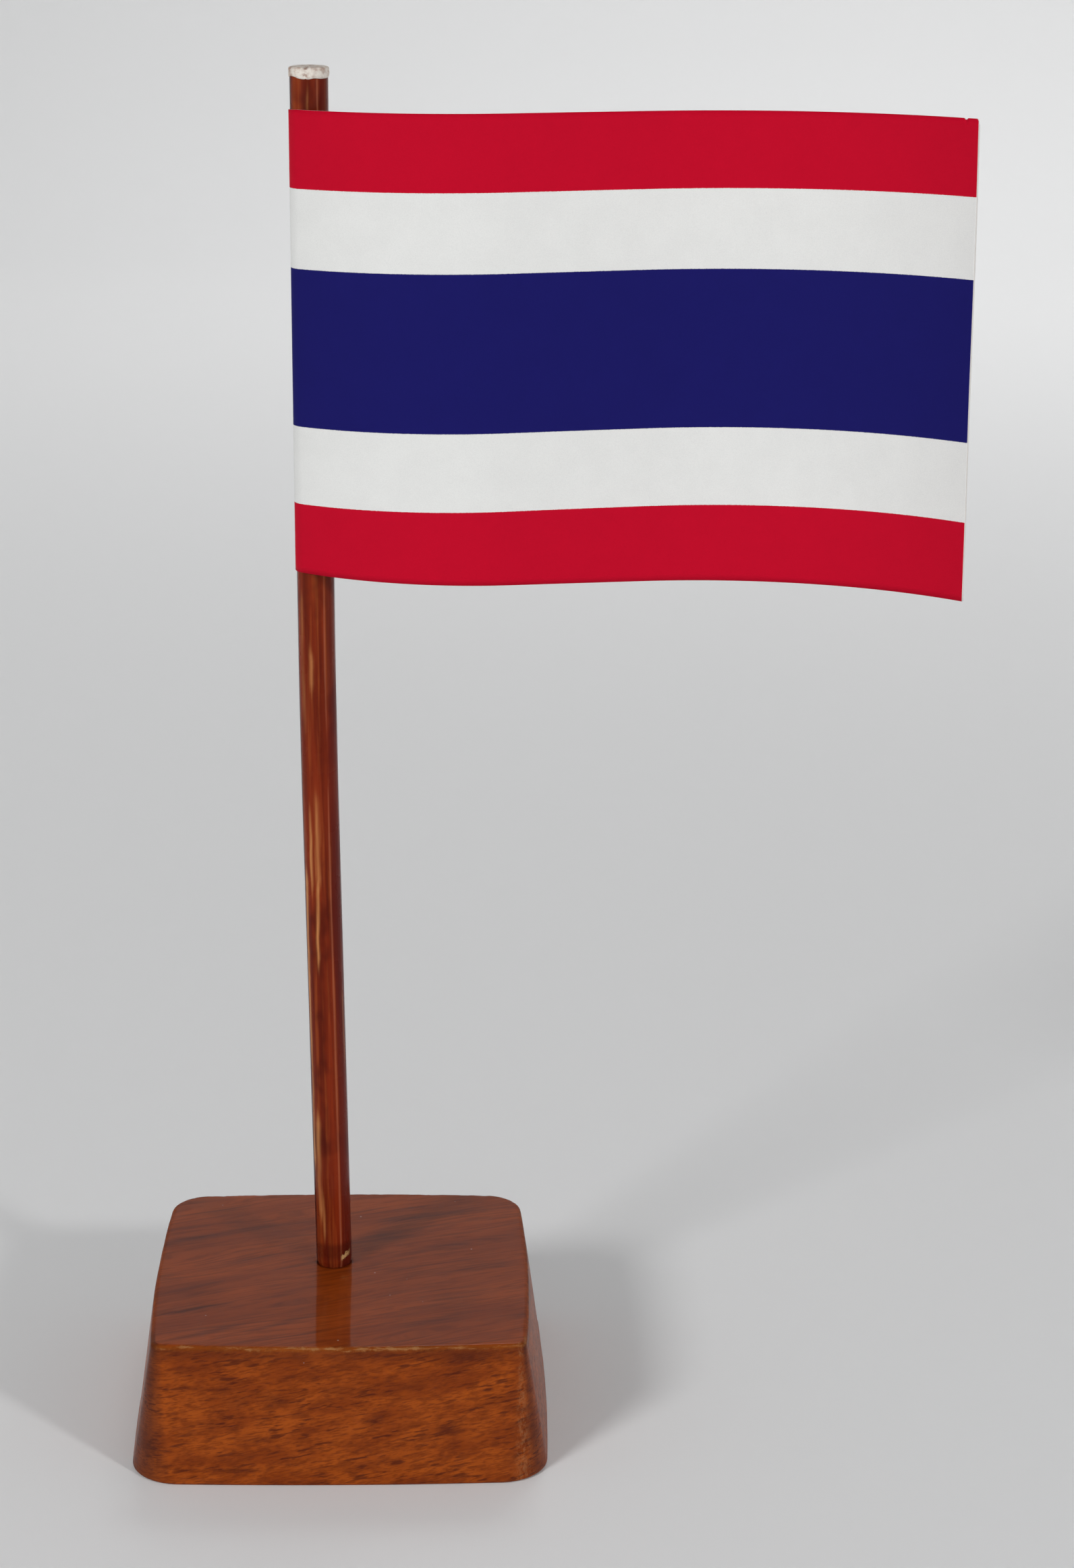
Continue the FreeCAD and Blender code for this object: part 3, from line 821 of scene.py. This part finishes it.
def walk(arcs, step):
    """Points along the arcs with the normal to the left, and the length so far."""
    places, normals, lengths = [], [], []
    run = 0.0
    for i, (centre, radius, first, last) in enumerate(arcs):
        length = radius * math.radians(abs(last - first))
        side = 1 if last > first else -1
        for t in spaced(0, 1, step / length)[(1 if i else 0):]:
            angle = first + (last - first) * t
            places.append(polar(centre, radius, angle))
            normals.append(-side * polar((0, 0), 1, angle))
            lengths.append(run + length * t)
        run += length
    return np.array(places), np.array(normals), np.array(lengths)


def front_arcs():
    return tangent_arcs(polar((0, 0), LOOP_RADIUS, LEAVE_ANGLE - 90), LEAVE_ANGLE, WAVES)


def back_arcs():
    """The loop round the pole, the swing to the front leaf, then along it."""
    step = SHEET + GLUE
    big = front_arcs()[0][0]
    d = math.hypot(*big)
    a = LOOP_RADIUS + RETURN_RADIUS
    b = WAVES[0][0] - step - RETURN_RADIUS
    off = math.degrees(math.acos((d * d + a * a - b * b) / (2 * d * a)))
    start = LEAVE_ANGLE + 90 - off
    centre = polar((0, 0), a, start)
    end = math.degrees(math.atan2(*(centre - big)[::-1]))
    along = shifted_arcs(front_arcs(), step)
    c, r, first, last = along[0]
    return [((0, 0), LOOP_RADIUS, LEAVE_ANGLE + 270, start),
            (centre, RETURN_RADIUS, start - 180, end), (c, r, end, last)] + along[1:]


def stations(arcs, every):
    """Places along a leaf: some way apart, and close together at its cut end."""
    places, normals, lengths = walk(arcs, FINE_STEP)
    count = len(places)
    keep = np.arange(count) % every == 0
    keep |= lengths > lengths[-1] - CUT_END
    keep[-1] = True
    return places[keep], normals[keep], lengths[-1] - lengths[keep]


def leaf_paths():
    """The whole sheet from the front leaf's free end round the pole to the back's.

    With each place come the printed face's normal, the way to the nearest cut end, and how
    far round the fold to the back leaf it is.
    """
    front, front_n, front_left = stations(front_arcs(), 8)
    back, back_n, back_left = stations(back_arcs(), 4)
    places = np.vstack([front[::-1], back[1:]])
    normals = np.vstack([-front_n[::-1], back_n[1:]])
    left = np.concatenate([front_left[::-1], back_left[1:]])
    gone = (back_left[0] - back_left[1:]) / (LOOP_RADIUS * math.pi)
    round_fold = np.concatenate([np.zeros(len(front)), np.minimum(gone, 1)])
    return places, normals, left, round_fold


def top_trim(left):
    """How far the top edge is cut away: a rounded corner at the end, and one small nick."""
    corner = max(0.0, CORNER_ROUND - left)
    corner = CORNER_ROUND - math.sqrt(max(0.0, CORNER_ROUND ** 2 - corner ** 2))
    nick = NICK_DEPTH * math.exp(-((left - NICK_AT) / NICK_HALF) ** 4)
    return corner + nick


def in_world(flat, height):
    """A place in the flag's plan at a world height, on the leaning flag axis."""
    x, y = flat
    aside = Vector((FLAG_AXIS.z, 0, -FLAG_AXIS.x))
    along = (height - FLAG_AT.z - aside.z * x) / FLAG_AXIS.z
    return FLAG_AT + aside * x + Vector((0, y, 0)) + FLAG_AXIS * along


def print_runs(places):
    """How far along the print each place is, from how far sideways it is."""
    front, _, lengths = walk(front_arcs(), 0.3 * MM)
    return np.interp(places[:, 0], front[:, 0], lengths) + PRINT_START


def waviness(run, z):
    """How far the card's slight waves stand out, growing away from the pole."""
    wave = noise.noise(Vector((run / (26 * MM), z / (22 * MM), 3.3))) * 0.16 * MM
    return wave * min(1.0, max(0.0, (run - 10 * MM) / (20 * MM)))


def creases(run, z):
    """How far small creases stand out where the card turns round the pole."""
    crease = max(0.0, noise.noise(Vector((0.7, 5.1, z / (1.6 * MM))))) * 0.05 * MM
    return crease * math.exp(-(run / (1.2 * MM)) ** 2)


def flag_piece():
    places, normals, left, round_fold = leaf_paths()
    runs = print_runs(places)
    full = runs.max()
    rows = np.linspace(0, 1, 66)
    outer, inner, band = [], [], []
    for flat, normal, run, to_end, back in zip(places, normals, runs, left, round_fold):
        foot = FLAG_FOOT + run * (RISE - FOOT_DROP) + FOOT_SAG * (run / SAG_RUN) ** 2
        top = FLAG_FOOT + FLAG_HEIGHT + run * (RISE - TOP_DROP)
        top -= top_trim(to_end) + BACK_DROP * back
        pull = max(0.0, (run - 0.80 * full) / (0.20 * full))
        tangent = np.array([-normal[1], normal[0]])
        if tangent[0] < 0:
            tangent = -tangent
        lift = front_normal(run)
        for t in rows:
            z = foot + (top - foot) * t
            skew = math.tan(math.radians(FLY_SKEW)) * (z - FLAG_FOOT)
            at = flat - tangent * skew * pull + lift * waviness(run, z)
            at = at + normal * creases(run, z)
            outer.append(in_world(at + normal * SHEET / 2, z))
            inner.append(in_world(at - normal * SHEET / 2, z))
            band.append((z - FLAG_FOOT - run * RISE) / MM)
    faces, core = slab_faces(len(places), len(rows))
    piece = make_object("flag_card", outer + inner, faces, {"band": band * 2}, {"core": core})
    dress(piece, card_finish())
    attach(piece, "flag")
    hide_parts("flag_sheet")


def front_normal(run):
    """The front leaf's normal at a length along the print."""
    heading = math.radians(LEAVE_ANGLE)
    left = run - PRINT_START
    for radius, turn in WAVES:
        length = radius * math.radians(abs(turn))
        part = min(max(left, 0.0), length)
        heading += math.radians(turn) * part / length
        left -= length
    return np.array([-math.sin(heading), math.cos(heading)])


RED, WHITE, BLUE = (0.535, 0.0035, 0.0225), (0.780, 0.782, 0.765), (0.0110, 0.0100, 0.120)


def card_finish():
    f = Finish("printed_card")
    band, core = f.stored("band"), f.stored("core")
    at = f.in_mm()
    ragged = f.times(f.less(f.noise(at, 6.0, 2.0), 0.5), 0.10)
    level = f.math("ADD", band, ragged)

    def above(edge):
        """1 above a band's edge and 0 below it."""
        return f.span(level, edge - 0.04, edge + 0.04)

    # from the lower edge up: red, white, blue, white, red
    low_white, low_blue, high_blue, high_white = BAND_EDGES
    colour = f.mix(above(low_white), RED, WHITE)
    colour = f.mix(above(low_blue), colour, BLUE)
    colour = f.mix(above(high_blue), colour, WHITE)
    colour = f.mix(above(high_white), colour, RED)
    mottle = f.noise(at, 0.22, 3.0, 0.6)
    grain = f.noise(at, 7.0, 2.0, 0.7)
    colour = f.mix(f.span(mottle, 0.3, 0.7, 0.0, 0.05), colour, (0.5, 0.5, 0.5), "MULTIPLY")
    colour = f.mix(f.span(grain, 0.35, 0.75, 0.0, 0.09), colour, (0.3, 0.3, 0.35), "MULTIPLY")
    paper = f.mix(f.noise(at, 3.0), (0.86, 0.83, 0.80), (0.78, 0.74, 0.71))
    colour = f.mix(f.span(core, 0.2, 0.4), colour, paper)
    tooth = f.math("ADD", f.times(grain, 0.6), f.times(f.noise(at, 2.2, 2.0), 0.4))
    f.set(Base_Color=colour, Roughness=0.62, Normal=f.bump(tooth, 0.012 * MM),
          Specular_IOR_Level=0.05)
    return f


GLUE_LOW, GLUE_HIGH, GLUE_END = 1.2 * MM, 0.6 * MM, 1.3 * MM   # how far it stops short


def glue_film():
    """The film between the leaves, just inside their edges."""
    arcs = shifted_arcs(back_arcs()[2:], -(SHEET + GLUE) / 2)
    places, normals, lengths = walk(arcs, 1.0 * MM)
    keep = lengths < lengths[-1] - GLUE_END
    places, normals = places[keep], normals[keep]
    rows = np.linspace(FLAG_FOOT + GLUE_LOW, FLAG_FOOT + FLAG_HEIGHT - GLUE_HIGH, 24)
    points = [in_world(flat + normal * side * GLUE * 0.45, z)
              for side in (1, -1) for flat, normal in zip(places, normals) for z in rows]
    faces, _ = slab_faces(len(places), len(rows), flip=True)
    piece = make_object("flag_glue_film", points, faces)
    dress(piece, glue_finish())
    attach(piece, "flag")
    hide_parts("flag_glue")


def glue_finish():
    f = Finish("dried_glue")
    lumps = f.noise(f.in_mm(), 0.8, 3.0)
    f.set(Base_Color=f.mix(lumps, (0.72, 0.66, 0.52), (0.82, 0.79, 0.70)),
          Roughness=0.35, Normal=f.bump(lumps, 0.01 * MM))
    return f


# stage, lights and camera -------------------------------------------------

def stage():
    """A flat pale floor that turns up into a wall all round, far from the object."""
    flat, bend, wall_top = 1.25, 0.9, 2.2      # metres
    profile = [(flat + bend, wall_top)]
    for a in np.radians(np.linspace(90, 0, 16)):
        profile.append((flat + bend * math.sin(a), bend * (1 - math.cos(a))))
    profile.append((flat * 0.4, 0.0))
    around = 96
    points = []
    for radius, height in profile:
        for k in range(around):
            a = 2 * math.pi * k / around
            points.append((radius * math.cos(a), radius * math.sin(a), height))
    points.append((0, 0, 0))
    faces = ring_faces(len(profile), around)
    faces += fan((len(profile) - 1) * around, around, len(points) - 1)
    floor = make_object("stage_floor", points, faces)
    f = Finish("stage_paper")
    at = f.object_place()
    tint = f.mix(f.noise(at, 1.4, 2.0), (0.865, 0.865, 0.865), (0.875, 0.875, 0.875))
    f.set(Base_Color=tint, Roughness=0.9, Specular_IOR_Level=0.1)
    dress(floor, f)


def soft_light(name, at, toward, size, power, spread=180, glints=True):
    """A round lamp; without glints it lights the object but isn't mirrored in it."""
    data = bpy.data.lights.new(name, "AREA")
    data.shape = "DISK"
    data.size = size
    data.energy = power
    data.spread = math.radians(spread)
    lamp = bpy.data.objects.new(name, data)
    lamp.visible_glossy = glints
    lamp.location = at
    lamp.rotation_mode = "QUATERNION"
    lamp.rotation_quaternion = (Vector(toward) - Vector(at)).to_track_quat("-Z", "Y")
    lamp.visible_camera = False
    bpy.context.scene.collection.objects.link(lamp)


def around_object(distance, azimuth, elevation):
    """A place round the origin, from angles in degrees."""
    a, e = math.radians(azimuth), math.radians(elevation)
    return (distance * math.cos(e) * math.cos(a), distance * math.cos(e) * math.sin(a),
            distance * math.sin(e))


def lights():
    world = bpy.data.worlds.new("studio")
    bpy.context.scene.world = world
    world.use_nodes = True
    back = world.node_tree.nodes["Background"]
    back.inputs["Color"].default_value = (0.93, 0.97, 1.0, 1)
    back.inputs["Strength"].default_value = 0.12
    middle = (0, 0.1, 0.0)
    # a weak lamp just in front of each strong one gives the lacquer a soft sheen
    soft_light("key_left", around_object(1.9, 230, 31), middle, 0.44, 13.2, glints=False)
    soft_light("key_left_glint", around_object(1.85, 230, 31), middle, 0.43, 1.6)
    soft_light("key_right", around_object(1.9, -47, 24.5), middle, 0.19, 9.1, glints=False)
    soft_light("key_right_glint", around_object(1.85, -47, 24.5), middle, 0.185, 0.7)
    soft_light("back_floor", (0.2, 1.1, 1.3), (0.3, 1.15, 0), 0.7, 3.6, 115)
    soft_light("backdrop", (0.6, 0.9, 1.2), (1.0, 2.1, 0.5), 0.5, 0.68)


def camera():
    """Looks a little down at the stand, from in front of it."""
    data = bpy.data.cameras.new("view")
    data.lens = 78.57
    data.sensor_width = 36.0
    data.clip_start, data.clip_end = 0.01, 30
    eye = bpy.data.objects.new("view", data)
    pitch, yaw, roll = math.radians(16.472), math.radians(1.875), math.radians(0.580)
    forward = Vector((math.sin(yaw) * math.cos(pitch), math.cos(yaw) * math.cos(pitch),
                      -math.sin(pitch)))
    right = Vector((math.cos(yaw), -math.sin(yaw), 0))
    up = right.cross(forward)
    side = right * math.cos(roll) + up * math.sin(roll)
    top = -right * math.sin(roll) + up * math.cos(roll)
    turn = Matrix((side, top, -forward)).transposed()
    eye.matrix_world = Matrix.Translation((0.012641, -0.464616, 0.231736)) @ turn.to_4x4()
    bpy.context.scene.collection.objects.link(eye)
    bpy.context.scene.camera = eye


bpy.context.scene.view_settings.view_transform = "Standard"
camera()
stage()
lights()
base_block()
pole()
seal()
flag_piece()
glue_film()
